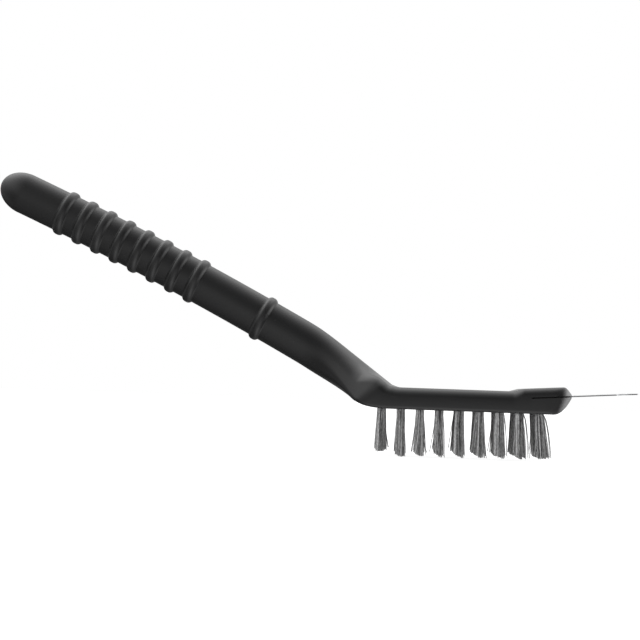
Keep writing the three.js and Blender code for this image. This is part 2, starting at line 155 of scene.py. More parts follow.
# Scraper
BLADE_THICKNESS = 0.6 * MM
BLADE_WIDTH = 34 * MM
BLADE_PROJECTION = 32.1 * MM
BLADE_TANG = 19.6 * MM
BLADE_TILT = np.radians(4.1)
BLADE_BELOW_HEAD_TOP = 1.6 * MM
BLADE_CORNER_RADIUS = 1.2 * MM
BLADE_EDGE_BREAK = 0.06 * MM
NOTCH_WIDTH = 7.5 * MM
NOTCH_DEPTH = 8 * MM
NOTCH_FROM_END = 3 * MM
PEG_DIAMETER = 4 * MM
PEG_SPACING = 18 * MM
PEG_SETBACK = 10 * MM
SEAT_CLEARANCE = 0.3 * MM
SLOT_CLEARANCE = 0.03 * MM
CUT_OVERRUN = 5 * MM

# Facets: counts, steps between the moulding's sections, and angles past which an edge is crisp
HALF_RING = 48
QUARTER_SECTIONS = 25
RIDGE_SECTIONS = 27
RIDGE_SECTION_REACH = 0.72  # of a ridge's width, either side of its crown
HANDLE_STEP = 1.3 * MM
NECK_STEP = 0.7 * MM
SLAB_STEP = 3 * MM
RAMP_STEP = 0.35 * MM
BLOCK_STEP = 1 * MM
LEAST_STEP = 0.05 * MM
ROUNDING_SAMPLES = 9
ROUND_SIDES = 36
NOTCH_STEPS = 24
CORNER_STEPS = 8
SHARP_ANGLE = np.radians(30)
WIRE_SHARP_ANGLE = np.radians(60)

# Finishes: linear red, green and blue, and where the nose has a painted highlight and the blade a painted
# shade inside the nose
PLASTIC_BLACK = (0.0088, 0.0088, 0.0092)
# Light end of the plastic's tint: wear, scuffs and dust, and the painted highlight on the nose
PLASTIC_WEAR_AND_HIGHLIGHT = (0.29, 0.29, 0.292)
WIRE_DARK = (0.085, 0.085, 0.087)
WIRE_BRIGHT = (1, 1, 1)
STEEL_DARK = (0.15, 0.15, 0.15)
STEEL_BRIGHT = (0.58, 0.59, 0.6)
BRASS_DULL = (0.36, 0.25, 0.09)
BRASS_BRIGHT = (0.62, 0.48, 0.2)
# Painted highlight on the nose's front: where it begins and where it is full, behind the front, its slant
# below the nose and its breakup
NOSE_HIGHLIGHT_FROM = 4.8 * MM
NOSE_HIGHLIGHT_TO = 1.2 * MM
NOSE_HIGHLIGHT_SLANT = 0.3
NOSE_HIGHLIGHT_BREAKUP = 1.4 * MM
# Painted shade on the blade where it runs into the nose's slot: its reach inside and outside the nose, and
# how uneven its edge is
SLOT_SHADE_INSIDE = 1 * MM
SLOT_SHADE_OUTSIDE = 2 * MM
SLOT_SHADE_UNEVENNESS = 4 * MM
EDGE_DARKENING = 0.7
# Painted highlight on the notches' walls, as a share of the edge's darkening: below 0 is brighter than the
# sheet
NOTCH_WALL_HIGHLIGHT = -0.6  # against 1 on the rest of the sheared edge

# Camera
CAMERA_FROM_HEAD = np.array([8.53, -717.84, 8.93]) * MM
CAMERA_YAW = np.radians(3.541)
CAMERA_PITCH = np.radians(2.738)
CAMERA_ROLL = np.radians(2.04)
CAMERA_LENS = 80
CAMERA_SENSOR = 36
CAMERA_CLIP_START = 10 * MM

# Studio: soft patches of light, as degrees of elevation, degrees of azimuth from +X and level
LIGHT_PATCHES = (
    (90, 0, 0.4),
    (60, 0, 1.05),
    (60, 45, 0.72),
    (60, 90, 0.6),
    (42, 63, 1.2),
    (46, 118, 2.0),
    (60, 180, 2.6),
    (60, -115, 0.2),
    (25, 0, 0.6),
    (25, 45, 0.16),
    (25, 135, 0.1),
    (25, 180, 0.6),
    (25, -135, 1.24),
    (0, 10, 2.6),
    (0, -22, 0.6),
    (-20, 90, 0.23),
    (-20, 180, 0.4),
    (-20, -90, 1.0),
    (-75, 0, 1.0),
    (-60, 90, 0.18),
    (-60, -90, 1.5),
)
PATCH_FALL = 10
RAY_KINDS = ("Is Camera Ray", "Is Glossy Ray", "Is Transmission Ray")
WHITE = (1, 1, 1, 1)
BACKDROP_FULL = np.cos(np.radians(25))  # about the way that the camera looks
BACKDROP_EDGE = np.cos(np.radians(60))
HORIZON_FROM = -0.05  # as sines of elevation
HORIZON_TO = 0.1
FLOOR_HALF = 3000 * MM
PAPER_GREY = (0.3, 0.3, 0.3, 1)
PAPER_GLOW = 0.93

# Sizes that follow
anchor_boxes = {
    (row, column): np.array(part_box(f"tuft_anchor_r{row + 1}_c{column + 1}"))
    for row in range(ROWS)
    for column in range(COLUMNS)
}
tuft_centres = {place: box.mean(axis=0) for place, box in anchor_boxes.items()}
face_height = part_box("handle_body")[0].z
head_origin = np.array([tuft_centres[0, 0][0] + FIRST_COLUMN_SETBACK, 0, face_height])
row_pitch = tuft_centres[1, 0][1] - tuft_centres[0, 0][1]
column_pitch = tuft_centres[0, 1][0] - tuft_centres[0, 0][0]
anchor_top = anchor_boxes[0, 0][1][2] - face_height
head_half = (row_pitch * (ROWS - 1) + HOLE_DIAMETER) / 2 + HEAD_SIDE_WALL
head_length = (COLUMNS - 1) * column_pitch - FIRST_COLUMN_SETBACK + NOSE_REACH
head_middle = HEAD_THICKNESS / 2
bend_length = BEND_RADIUS * BEND_ANGLE
sweep_length = NECK_SWEEP_RADIUS * NECK_SWEEP_ANGLE
neck_length = bend_length + NECK_STRAIGHT + sweep_length
dome_from = HANDLE_LENGTH - DOME_LENGTH
last_ridge = HANDLE_LENGTH - FIRST_RIDGE_FROM_BUTT - (RIDGE_COUNT - 1) * RIDGE_PITCH
grip_places = last_ridge + RIDGE_PITCH * np.arange(RIDGE_COUNT)
ridge_places = np.append(grip_places, last_ridge - COLLAR_FROM_LAST_RIDGE)
hole_depth = HEAD_THICKNESS - HOLE_ROOF
slot_thickness = BLADE_THICKNESS + 2 * SLOT_CLEARANCE
lip_half = slot_thickness / 2 + NOSE_LIP
blade_height = HEAD_THICKNESS - BLADE_BELOW_HEAD_TOP
nose_point = head_origin + np.array([head_length, 0, blade_height])
notch_x = BLADE_PROJECTION - NOTCH_FROM_END - NOTCH_WIDTH / 2


# Curves: from the neck's root, "back" runs to the butt and "along" runs over the head to the nose

def ease(share):
    """Smooth step from 0 to 1: 3 s squared less 2 s cubed."""
    share = np.clip(share, 0, 1)
    return share * share * (3 - 2 * share)


def between(start, end, share):
    """Straight mix of two values."""
    return start + (end - start) * share


def soft_greater(first, second, rounding):
    """The greater of two values, with the corner where they cross rounded by a parabola."""
    overlap = np.maximum(rounding - np.abs(first - second), 0)
    return np.maximum(first, second) + overlap * overlap / (4 * rounding)


def rounded(profile, places, reach):
    """A profile's mean over a short run either side of each place, which rounds its corners."""
    offsets = np.linspace(-reach, reach, ROUNDING_SAMPLES)
    return profile(places[..., None] + offsets).mean(axis=-1)


def spine_at(back):
    """Centre line: straight along the head, then arcs joined tangent to tangent.

    Each run adds its chord, step times sinc of half the turn, along the run's middle direction.
    """
    runs = (
        (bend_length, 1 / BEND_RADIUS),
        (NECK_STRAIGHT, 0),
        (sweep_length, -1 / NECK_SWEEP_RADIUS),
        (HANDLE_LENGTH, -1 / BOW_RADIUS),
    )
    x = np.maximum(-back, 0)
    z = np.full_like(back, head_middle)
    slope = np.zeros_like(back)
    left = np.maximum(back, 0)
    for length, curvature in runs:
        step = np.minimum(left, length)
        turn = step * curvature
        chord = step * np.sinc(turn / (2 * np.pi))
        x = x - chord * np.cos(slope + turn / 2)
        z = z + chord * np.sin(slope + turn / 2)
        slope = slope + turn
        left = left - step
    return x, z, slope


def ridge_at(back):
    """Ridge height: 1 less the cube of the share of the way to its foot, filleted into the handle."""
    share = np.abs(back[..., None] - ridge_places).min(axis=-1) / (RIDGE_WIDTH / 2)
    return soft_greater(RIDGE_HEIGHT * (1 - share ** 3), 0, RIDGE_BASE_FILLET)


def handle_half_at(back):
    """Half height of the handle, tapered a little from the neck to the butt."""
    return between(HANDLE_HEIGHT / 2, BUTT_HEIGHT / 2, ease(back / HANDLE_LENGTH))


def depth_below(back):
    """Distance from the spine down to the under side: head, neck and handle, each eased into the next."""
    neck = between(NECK_THICKNESS / 2, handle_half_at(back), ease((back - bend_length) / sweep_length))
    return between(head_middle, neck, ease(back / NECK_THINNING))


def crest_above(x, z, tilt, handle_top):
    """Distance from the spine up to the crest, along the leaning section.

    The crest is a straight line that meets the head's top, held down to the top of the handle.
    """
    line = (CREST_INTO_HEAD - x) * np.sin(CREST_SLOPE) + (HEAD_THICKNESS - z) * np.cos(CREST_SLOPE)
    line = line / np.cos(tilt - CREST_SLOPE)
    return -soft_greater(-line, -handle_top, CREST_ROUNDING)


def flare_at(back):
    """Share of the way from the head's width to the handle's: a quarter sine, steepest at the head."""
    share = np.clip((back - FLARE_FROM) / FLARE_LENGTH, 0, 1)
    return np.sin(share * np.pi / 2)


def block_top(along):
    """Top of the head: flat, a ramp, then the block, which rises with the blade's tilt."""
    foot = head_length - BLOCK_LENGTH
    on_ramp = np.clip((along - foot) / BLOCK_RAMP, 0, 1)
    beyond = np.maximum(0, along - foot - BLOCK_RAMP)
    return HEAD_THICKNESS + BLOCK_RISE * on_ramp + beyond * np.tan(BLADE_TILT)


def top_chamfer(along):
    """Share of the way from the block's top down to the lip over the slot."""
    return np.maximum((along - head_length) / NOSE_TOP_CHAMFER + 1, 0)


def lower_chamfer(along):
    """Share of the way from the head's face up to the lip under the slot."""
    return np.maximum((along - head_length) / NOSE_LOWER_CHAMFER + 1, 0)


def top_edge_radius(back):
    """Rounding of the long top edges, widest on the neck and tightest on the block."""
    on_neck = ease((back - NECK_EDGE_FROM) / NECK_EDGE_RUN)
    on_block = ease((BLOCK_LENGTH - head_length - back) / BLOCK_RAMP)
    radius = between(HEAD_TOP_EDGE_RADIUS, NECK_TOP_EDGE_RADIUS, on_neck)
    return between(radius, BLOCK_TOP_EDGE_RADIUS, on_block)


def head_half_width(along):
    """Plan of the head: parallel sides, then a quarter circle at each corner of the nose."""
    into = np.clip((along - head_length) / NOSE_CORNER_RADIUS + 1, 0, 1)
    return head_half - NOSE_CORNER_RADIUS * (1 - np.sqrt(1 - into * into))


def front_setback(y):
    """How far the round corners of the nose lie behind its front, at a place across the head."""
    into = np.clip(np.abs(y) - head_half + NOSE_CORNER_RADIUS, 0, NOSE_CORNER_RADIUS)
    return NOSE_CORNER_RADIUS - np.sqrt(NOSE_CORNER_RADIUS * NOSE_CORNER_RADIUS - into * into)


def edge_drop(inset, radius):
    """Fall of a rounded edge: a quarter circle over the last radius before the side wall."""
    into = np.clip(radius - inset, 0, radius)
    return radius - np.sqrt(np.maximum(radius * radius - into * into, 0))


def boxed_section(back, y, inset, slab, crest, bottom):
    """Top and bottom of the head and neck, at places y across them that lie inset from the side.

    The top is the greater of the slab and a gable, which falls from its crest along a hyperbola and
    is steeper away from the head. Both faces draw in to the slot over the nose's chamfers, and end
    at the side in a rounded edge.
    """
    growth = ease((back - SHOULDER_FROM) / SHOULDER_GROWTH)
    shoulder = between(SHOULDER_SLOPE_AT_HEAD, SHOULDER_SLOPE, growth)
    gable = crest - (np.hypot(y, CREST_WIDTH) - CREST_WIDTH) * np.tan(shoulder)
    to_front = np.maximum(0, -back) + front_setback(y)
    top_drawn_in = rounded(top_chamfer, to_front, NOSE_TOP_ROUNDING)
    bottom_drawn_in = rounded(lower_chamfer, to_front, NOSE_LOWER_ROUNDING)
    slot = blade_height - head_middle
    top = between(soft_greater(slab, gable, CREASE_FILLET), slot + lip_half, top_drawn_in)
    bottom = between(bottom, slot - lip_half, bottom_drawn_in)
    edge_limit = (top - bottom) / 2
    top_drop = edge_drop(inset, np.minimum(top_edge_radius(back), edge_limit))
    bottom_rise = edge_drop(inset, np.minimum(HEAD_LOWER_EDGE_RADIUS, edge_limit))
    return top - top_drop, bottom + bottom_rise


def moulding_rings(stations):
    """Sections of the moulding as heights over the width, y being half the width times a cosine.

    The head and neck have boxed sections, and on the handle top and bottom are half ovals. A section
    leans about its spine point by the tilt, in the plane of x and z.
    """
    back = stations[:, None]
    along = np.maximum(0, -back)
    x, z, slope = spine_at(back)
    root_reach = np.where(back > 0, ROOT_TILT_INTO_NECK, ROOT_TILT_INTO_HEAD)
    root = NECK_ROOT_TILT * (1 - ease(np.abs(back) / root_reach))
    tilt = slope + root
    stretch = 1 / np.cos(root)
    into_dome = np.clip((back - dome_from) / DOME_LENGTH, 0, 1)
    dome = np.sqrt(1 - into_dome * into_dome)
    ridge = ridge_at(back)

    below = depth_below(back)
    bottom = -below * dome * stretch - ridge
    block_rise = rounded(block_top, along, RAMP_ROUNDING) - HEAD_THICKNESS
    slab = block_rise + (HEAD_THICKNESS - below) * stretch
    crest = crest_above(x, z, tilt, handle_half_at(back) * dome * stretch + ridge)
    flare = rounded(flare_at, back, FLARE_ROUNDING)
    width = between(head_half_width(along), HANDLE_WIDTH / 2, flare) * dome + ridge

    angle = (np.arange(HALF_RING) + 0.5) * np.pi / HALF_RING
    y = width * np.cos(angle)
    box_top, box_bottom = boxed_section(back, y, width - np.abs(y), slab, crest, bottom)
    middle = (crest + bottom) / 2
    oval = (crest - bottom) / 2 * np.sin(angle)
    roundness = ease((back - FLARE_FROM) / SHOULDER_LENGTH)
    top = between(box_top, middle + oval, roundness)
    low = between(box_bottom, middle - oval, roundness)

    y = np.concatenate([y, y[:, ::-1]], axis=1)
    height = np.concatenate([top, low[:, ::-1]], axis=1)
    return np.stack([x + height * np.sin(tilt), y, z + height * np.cos(tilt)], axis=2)


def moulding_stations():
    """Where the sections stand: close together on the dome, ridges, neck root and nose, wider elsewhere."""
    around_ridge = np.linspace(-RIDGE_SECTION_REACH, RIDGE_SECTION_REACH, RIDGE_SECTIONS) * RIDGE_WIDTH
    quarter = np.linspace(0, np.pi / 2, QUARTER_SECTIONS, endpoint=False)
    ramp_from = -head_length + BLOCK_LENGTH + BLOCK_RAMP
    ramp_to = -head_length + BLOCK_LENGTH - 2 * BLOCK_RAMP
    runs = [
        dome_from + DOME_LENGTH * np.sin(quarter),
        (ridge_places[:, None] + around_ridge).ravel(),
        np.arange(neck_length, dome_from, HANDLE_STEP),
        np.arange(-ROOT_TILT_INTO_HEAD, neck_length, NECK_STEP),
        np.arange(ramp_from, -ROOT_TILT_INTO_HEAD, SLAB_STEP),
        np.arange(ramp_to, ramp_from, RAMP_STEP),
        np.arange(-head_length + NOSE_CORNER_RADIUS, ramp_to, BLOCK_STEP),
        -head_length + NOSE_CORNER_RADIUS * (1 - np.sin(quarter)),
        [-head_length],
    ]
    stations = np.sort(np.concatenate(runs))[::-1]
    keep = np.append(True, -np.diff(stations) > LEAST_STEP)
    return stations[keep]


# Meshes

def make_piece(name, points, faces, material, sharp_angle=SHARP_ANGLE):
    """Mesh object at the origin, smooth shaded with edges over the sharp angle left crisp."""
    mesh = bpy.data.meshes.new(name)
    mesh.from_pydata(np.asarray(points).tolist(), [], faces)
    mesh.materials.append(material)
    mesh.shade_smooth()
    mesh.set_sharp_from_angle(angle=sharp_angle)
    piece = bpy.data.objects.new(name, mesh)
    bpy.context.scene.collection.objects.link(piece)
    return piece


def paint(piece, name, values):
    """Keeps a value for each point of the piece, under a name that its finish reads."""
    attribute = piece.data.attributes.new(name, "FLOAT", "POINT")
    attribute.data.foreach_set("value", np.ravel(values).astype(np.float32))


def ring_faces(ring_count, side_count):
    """Quads of a grid of rings, each ring closed on itself."""
    ring, side = np.meshgrid(np.arange(ring_count - 1), np.arange(side_count), indexing="ij")
    here = ring * side_count
    following = (side + 1) % side_count
    corners = (here + side, here + following, here + side_count + following, here + side_count + side)
    return np.stack(corners, axis=-1).reshape(-1, 4)


def capped_tube(rings):
    """Points and faces of a run of rings, closed by a flat face at each end."""
    ring_count, side_count = rings.shape[:2]
    first = np.arange(side_count)
    last = first + (ring_count - 1) * side_count
    faces = [*ring_faces(ring_count, side_count).tolist(), first[::-1].tolist(), last.tolist()]
    return rings.reshape(-1, 3), faces


def lathe_rings(profile, centre):
    """A profile of radius and height turned about a vertical axis through the centre."""
    radius, height = np.array(profile).T
    angle = np.linspace(0, 2 * np.pi, ROUND_SIDES, endpoint=False)
    x = centre[0] + radius[:, None] * np.cos(angle)
    y = centre[1] + radius[:, None] * np.sin(angle)
    z = np.broadcast_to(centre[2] + height[:, None], x.shape)
    return np.stack([x, y, z], axis=2)


def join_parts(parts):
    """Points and faces of several closed parts as one list."""
    points, faces, count = [], [], 0
    for part_points, part_faces in parts:
        points.append(part_points)
        faces.extend([index + count for index in face] for face in part_faces)
        count += len(part_points)
    return np.concatenate(points), faces


def cut(piece, cutter):
    """Takes the cutter's solid out of the piece, which the grid alone can't do, and removes the cutter."""
    modifier = piece.modifiers.new("cut", "BOOLEAN")
    modifier.operation = "DIFFERENCE"
    modifier.solver = "EXACT"
    modifier.object = cutter
    graph = bpy.context.evaluated_depsgraph_get()
    mesh = bpy.data.meshes.new_from_object(piece.evaluated_get(graph))
    mesh.set_sharp_from_angle(angle=SHARP_ANGLE)
    piece.modifiers.clear()
    piece.data = mesh
    bpy.data.objects.remove(cutter)
    return piece


def finish_piece(piece, slot, *nodes):
    """Rides the piece on the brush's one body, in place of its CAD nodes."""
    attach(piece, "root")
    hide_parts(*nodes)


# Shader maths

class Value:
    """A node's output that takes part in Python arithmetic: each operator adds a Math node."""

    def __init__(self, finish, socket):
        self.finish = finish
        self.socket = socket

    def maths(self, operation, *terms):
        """Math node on the terms, in their order."""
        return self.finish.node("ShaderNodeMath", {"operation": operation}, dict(enumerate(terms)))

    def __add__(self, other):
        return self.maths("ADD", self, other)

    def __sub__(self, other):
        return self.maths("SUBTRACT", self, other)

    def __rsub__(self, other):
        return self.maths("SUBTRACT", other, self)

    def __mul__(self, other):
        return self.maths("MULTIPLY", self, other)

    __radd__ = __add__
    __rmul__ = __mul__


class Finish:
    """A material's or the world's node tree under construction."""

    def __init__(self, owner):
        owner.use_nodes = True
        self.owner = owner
        self.tree = owner.node_tree
        self.tree.nodes.clear()

    def node(self, kind, settings=None, sockets=None, output=0):
        """Adds a node: its settings first, then the values or links of its sockets."""
        made = self.tree.nodes.new(kind)
        for name, value in (settings or {}).items():
            setattr(made, name, value)
        for name, value in (sockets or {}).items():
            if isinstance(value, Value):
                self.tree.links.new(value.socket, made.inputs[name])
            else:
                made.inputs[name].default_value = value
        return Value(self, made.outputs[output]) if made.outputs else None

    def object_place(self, scale=(1, 1, 1)):
        """Object coordinates, stretched by a scale."""
        place = self.node("ShaderNodeTexCoord", output="Object")
        return self.node("ShaderNodeMapping", sockets={"Vector": place, "Scale": scale})

    def coordinate(self, place, axis):
        """One coordinate of a place, by the name of its axis."""
        return self.node("ShaderNodeSeparateXYZ", sockets={"Vector": place}, output=axis)

    def painted(self, name):
        """Value that the piece keeps at each point under a name."""
        return self.node("ShaderNodeAttribute", {"attribute_name": name}, output="Fac")

    def noise(self, place, scale, detail=2, roughness=0.5):
        """Cloudy pattern between 0 and 1, finer as its scale grows."""
        sockets = {"Vector": place, "Scale": scale, "Detail": detail, "Roughness": roughness}
        return self.node("ShaderNodeTexNoise", sockets=sockets)

    def step(self, value, low, high):
        """0 below low, 1 above high, smooth between."""
        sockets = {"Value": value, "From Min": low, "From Max": high}
        return self.node("ShaderNodeMapRange", {"interpolation_type": "SMOOTHSTEP"}, sockets)

    def tint(self, share, first, second):
        """Mix of two colours, which are a Mix node's inputs 6 and 7 and its output 2."""
        sockets = {0: share, 6: (*first, 1), 7: (*second, 1)}
        return self.node("ShaderNodeMix", {"data_type": "RGBA"}, sockets, output=2)

    def bump(self, height, distance, strength):
        """Normal of a surface raised by the distance where the height is 1."""
        sockets = {"Height": height, "Distance": distance, "Strength": strength}
        return self.node("ShaderNodeBump", sockets=sockets)

    def surface(self, **sockets):
        """Material of one surface shader, whose sockets are named with _ for each space."""
        named = {name.replace("_", " "): value for name, value in sockets.items()}
        shader = self.node("ShaderNodeBsdfPrincipled", sockets=named)
        self.node("ShaderNodeOutputMaterial", sockets={"Surface": shader})
        return self.owner


def new_finish(name):
    """Finish on a new material."""
    return Finish(bpy.data.materials.new(name))


# Finishes

def moulded_plastic():
    """Black injection moulding: fine spark grain, uneven gloss, a little dust, worn crests, and a painted
    highlight on the nose.
    """
    finish = new_finish("moulded black plastic")
    place = finish.object_place()
    grain = finish.noise(place, scale=2600, detail=3)
    cloud = finish.noise(place, scale=38, detail=4, roughness=0.6)
    speckle = finish.noise(place, scale=1500)
    scratches = finish.noise(finish.object_place((30, 420, 420)), scale=6, detail=5, roughness=0.7)
    scuff = finish.step(scratches, low=0.58, high=0.74)
    dust = finish.step(finish.noise(place, scale=900, detail=1), low=0.78, high=0.84)
    worn = finish.painted("crest") * finish.step(cloud, low=0.4, high=0.7)
    # Painted highlight on the nose's front, reaching further back lower down and broken up by speckle
    nose_x, _, nose_z = nose_point
    below_nose = nose_z - finish.coordinate(place, "Z")
    reach = finish.coordinate(place, "X") + below_nose * NOSE_HIGHLIGHT_SLANT + speckle * NOSE_HIGHLIGHT_BREAKUP
    nose_highlight = finish.step(reach, low=nose_x - NOSE_HIGHLIGHT_FROM, high=nose_x - NOSE_HIGHLIGHT_TO) * (0.65 + 0.35 * speckle)
    wear_dust_and_highlight = worn * 0.03 + scuff * 0.04 + dust * 0.1 + nose_highlight
    return finish.surface(
        Base_Color=finish.tint(wear_dust_and_highlight, PLASTIC_BLACK, PLASTIC_WEAR_AND_HIGHLIGHT),
        Roughness=0.3 + cloud * 0.12 + scuff * 0.1 - worn * 0.05,
        Specular_IOR_Level=0.42,
        Normal=finish.bump(grain, distance=0.02 * MM, strength=0.5),
    )


def drawn_wire():
    """Drawn steel wire: each wire has its own tone and a painted shade shared with its clump, with streaks
    along it that are also painted glints, standing for the light on crimped wire.
    """
    finish = new_finish("drawn steel wire")
    # Streaks and dots along the wires: drawing streaks, and painted glints that stand for the light on
    # crimped wire
    drawn = finish.noise(finish.object_place((1, 1, 0.3)), scale=2400, detail=3)
    streak_and_glint = finish.step(drawn, low=0.3, high=0.7)
    bright = finish.painted("wire_tone_and_clump_shade") * 0.6 + streak_and_glint * 0.4
    return finish.surface(
        Base_Color=finish.tint(bright, WIRE_DARK, WIRE_BRIGHT),
        Metallic=1,
        Roughness=0.44 - streak_and_glint * 0.1,
    )


def brushed_stainless():
    """Rolled stainless sheet, brushed along the blade, with dark cut edges, a painted highlight on the
    notches' walls, and a painted shade, darker and rougher, inside the nose.
    """
    finish = new_finish("brushed stainless sheet")
    place = finish.object_place()
    brush = finish.noise(finish.object_place((14, 900, 900)), scale=3, detail=4, roughness=0.7)
    cloud = finish.noise(place, scale=60, detail=3)
    # Painted shade on the blade inside the nose, darker and rougher, with an uneven edge
    along = finish.coordinate(place, "X") + cloud * SLOT_SHADE_UNEVENNESS
    outside_slot_shade = finish.step(along, low=nose_point[0] - SLOT_SHADE_INSIDE, high=nose_point[0] + SLOT_SHADE_OUTSIDE)
    # Dark sheared edges, and the painted highlight on the notches' walls
    edge_tone_and_notch_highlight = 1 - EDGE_DARKENING * finish.painted("sheared_edge_and_notch_highlight")
    bright = (brush * 0.3 + cloud * 0.2 + 0.5) * outside_slot_shade * edge_tone_and_notch_highlight
    return finish.surface(
        Base_Color=finish.tint(bright, STEEL_DARK, STEEL_BRIGHT),
        Metallic=1,
        Roughness=0.2 + brush * 0.16 + cloud * 0.06 + (1 - outside_slot_shade) * 0.3,
        Normal=finish.bump(brush, distance=0.004 * MM, strength=0.4),
    )


def anchor_brass():
    """Flat brass wire with a dull, spotted skin."""
    finish = new_finish("flat brass wire")
    spot = finish.noise(finish.object_place(), scale=700, detail=4, roughness=0.65)
    return finish.surface(
        Base_Color=finish.tint(finish.step(spot, low=0.35, high=0.7), BRASS_DULL, BRASS_BRIGHT),
        Metallic=1,
        Roughness=0.3 + spot * 0.2,
    )


# Moulding

def make_moulding():
    """Handle, neck and head in one loft, then the tuft holes and the scraper's slot are cut out."""
    stations = moulding_stations()
    rings = moulding_rings(stations) + head_origin
    ring_count, side_count = rings.shape[:2]
    butt_x, butt_z, _ = spine_at(np.array([HANDLE_LENGTH]))
    butt_point = np.array([butt_x[0], 0, butt_z[0]]) + head_origin
    points = np.concatenate([rings.reshape(-1, 3), [butt_point, nose_point]])
    first = np.arange(side_count)
    last = first + (ring_count - 1) * side_count
    poles = np.full(side_count, ring_count * side_count)
    butt_fan = np.stack([poles, np.roll(first, -1), first], axis=1)
    nose_fan = np.stack([poles + 1, last, np.roll(last, -1)], axis=1)
    faces = [*ring_faces(ring_count, side_count).tolist(), *butt_fan.tolist(), *nose_fan.tolist()]
    piece = make_piece("handle_moulding", points, faces, moulded_plastic())
    crest = np.repeat(ridge_at(stations) / RIDGE_HEIGHT, side_count)
    paint(piece, "crest", np.append(crest, [0, 0]))
    cut(piece, tuft_hole_cutter())
    cut(piece, blade_slot_cutter())
    finish_piece(piece, "plastic", "handle_body")


def tuft_hole_cutter():
    """All tuft holes: a drilled profile with a chamfered mouth, turned about each tuft's centre."""
    radius = HOLE_DIAMETER / 2
    profile = [
        (radius + HOLE_MOUTH_CHAMFER, -CUT_OVERRUN),
        (radius + HOLE_MOUTH_CHAMFER, 0),
        (radius, HOLE_MOUTH_CHAMFER),
        (radius, hole_depth),
    ]
    mouths = [(x, y, face_height) for x, y, _ in tuft_centres.values()]
    holes = [capped_tube(lathe_rings(profile, mouth)) for mouth in mouths]
    return make_piece("tuft_hole_cutter", *join_parts(holes), None)


# Scraper

def in_blade_plane(points):
    """Turns points drawn about the nose by the blade's tilt and sets them at the nose."""
    x, y, z = np.moveaxis(np.asarray(points, float), -1, 0)
    turned_x = x * np.cos(BLADE_TILT) - z * np.sin(BLADE_TILT)
    turned_z = x * np.sin(BLADE_TILT) + z * np.cos(BLADE_TILT)
    return np.stack([turned_x, y, turned_z], axis=-1) + nose_point


def blade_pegs(radius, half_height):
    """Two round pegs through the blade's plane."""
    pegs = []
    for y in (-PEG_SPACING / 2, PEG_SPACING / 2):
        rings = lathe_rings([(radius, -half_height), (radius, half_height)], (-PEG_SETBACK, y, 0))
        points, faces = capped_tube(rings)
        pegs.append((in_blade_plane(points), faces))
    return make_piece("blade_pegs", *join_parts(pegs), None)


def blade_slot_cutter():
    """Slot through the nose, open at its front and sides, with the two pegs left standing."""
    reach = head_half + CUT_OVERRUN
    inner = -BLADE_TANG - SEAT_CLEARANCE
    outline = [(inner, -reach), (CUT_OVERRUN, -reach), (CUT_OVERRUN, reach), (inner, reach)]
    levels = (-slot_thickness / 2, slot_thickness / 2)
    rings = np.array([[(x, y, z) for x, y in outline] for z in levels])
    points, faces = capped_tube(rings)
    slot = make_piece("blade_slot_cutter", in_blade_plane(points), faces, None)
    return cut(slot, blade_pegs(PEG_DIAMETER / 2, slot_thickness))


def arc(centre, radius, start, end, steps):
    """Points of a circle's arc between two angles in degrees."""
    angle = np.radians(np.linspace(start, end, steps + 1))
    return np.stack([centre[0] + radius * np.cos(angle), centre[1] + radius * np.sin(angle)], axis=1)


def blade_outline():
    """Scraper seen from above: plain tang, a U-shaped grate notch in each side, rounded front corners."""
    half = BLADE_WIDTH / 2
    radius = BLADE_CORNER_RADIUS
    notch = NOTCH_WIDTH / 2
    notch_y = half - NOTCH_DEPTH + notch
    right = np.concatenate([
        [(-BLADE_TANG, -half), (notch_x - notch, -half)],
        arc((notch_x, -notch_y), notch, 180, 0, NOTCH_STEPS),
        [(notch_x + notch, -half)],
        arc((BLADE_PROJECTION - radius, radius - half), radius, -90, 0, CORNER_STEPS),
    ])
    return np.concatenate([right, right[::-1] * (1, -1)])


def make_blade():
    """Sheet blade: its outline at four levels, drawn in at the outer two for the broken edges.

    Its sheared edge is dark, apart from the notches' walls, which carry a painted highlight.
    """
    outline = blade_outline()
    along = np.roll(outline, -1, axis=0) - np.roll(outline, 1, axis=0)
    inward = np.stack([-along[:, 1], along[:, 0]], axis=1) / np.linalg.norm(along, axis=1)[:, None]
    half = BLADE_THICKNESS / 2
    levels = ((-half, 1), (BLADE_EDGE_BREAK - half, 0), (half - BLADE_EDGE_BREAK, 0), (half, 1))
    rings = [
        np.column_stack([outline + inward * BLADE_EDGE_BREAK * drawn_in, np.full(len(outline), z)])
        for z, drawn_in in levels
    ]
    points, faces = capped_tube(np.array(rings))
    piece = make_piece("scraper_sheet", in_blade_plane(points), faces, brushed_stainless())
    x, y = np.abs(outline - (notch_x, 0)).T
    in_notch = (x <= NOTCH_WIDTH / 2) & (y < BLADE_WIDTH / 2)
    # Painted highlight on the notches' walls, brighter than the sheet
    shade = np.where(in_notch, NOTCH_WALL_HIGHLIGHT, 1)
    paint(piece, "sheared_edge_and_notch_highlight", [shade * (1 - drawn_in) for _, drawn_in in levels])
    cut(piece, blade_pegs(PEG_DIAMETER / 2 + SEAT_CLEARANCE, slot_thickness))
    finish_piece(piece, "blade", "scraper_blade")


# Tufts

def clump_values(x, values):
    """Value that each wire shares with its clump, from where the wire stands along the head."""
    return values[np.floor(x / CLUMP_WIDTH).astype(int) % len(values)]


def trim_at(column):
    """Length of a column's longest wires: least in the first, then a little less towards the nose."""
    return TRIM_LENGTH - TRIM_TAPER * column / (COLUMNS - 1) - FIRST_COLUMN_SHORTER * (column == 0)


